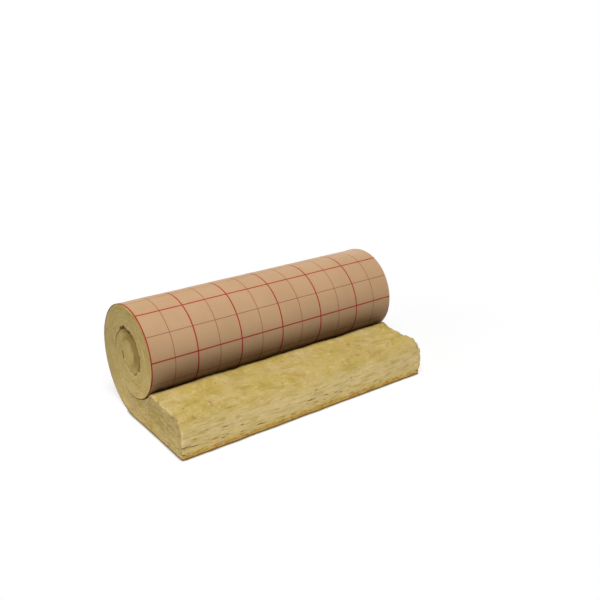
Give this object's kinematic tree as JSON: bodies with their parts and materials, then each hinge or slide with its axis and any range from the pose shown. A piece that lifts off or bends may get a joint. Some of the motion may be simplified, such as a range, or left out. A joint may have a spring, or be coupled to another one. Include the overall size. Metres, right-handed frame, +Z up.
{
  "type": "insulation roll",
  "caption": "Part-unrolled roll of stone wool insulation blanket with a gridded kraft paper facing; it lies on its facing, with a thick cut tail in front of the roll.",
  "frame": {"origin": "on the floor, at the middle of the footprint", "axes": "+X along the roll's axis, +Y from the cut tail in front towards the back of the roll, +Z up"},
  "size_m": [1.2, 0.64, 0.48],
  "materials": {
    "stone_wool": "matte, matted fibres in layers",
    "kraft_paper": "smooth brown paper with a printed red measuring grid"
  },
  "bodies": {
    "root": {"wool_blanket": "stone_wool", "kraft_facing": "kraft_paper"}
  },
  "joints": []
}
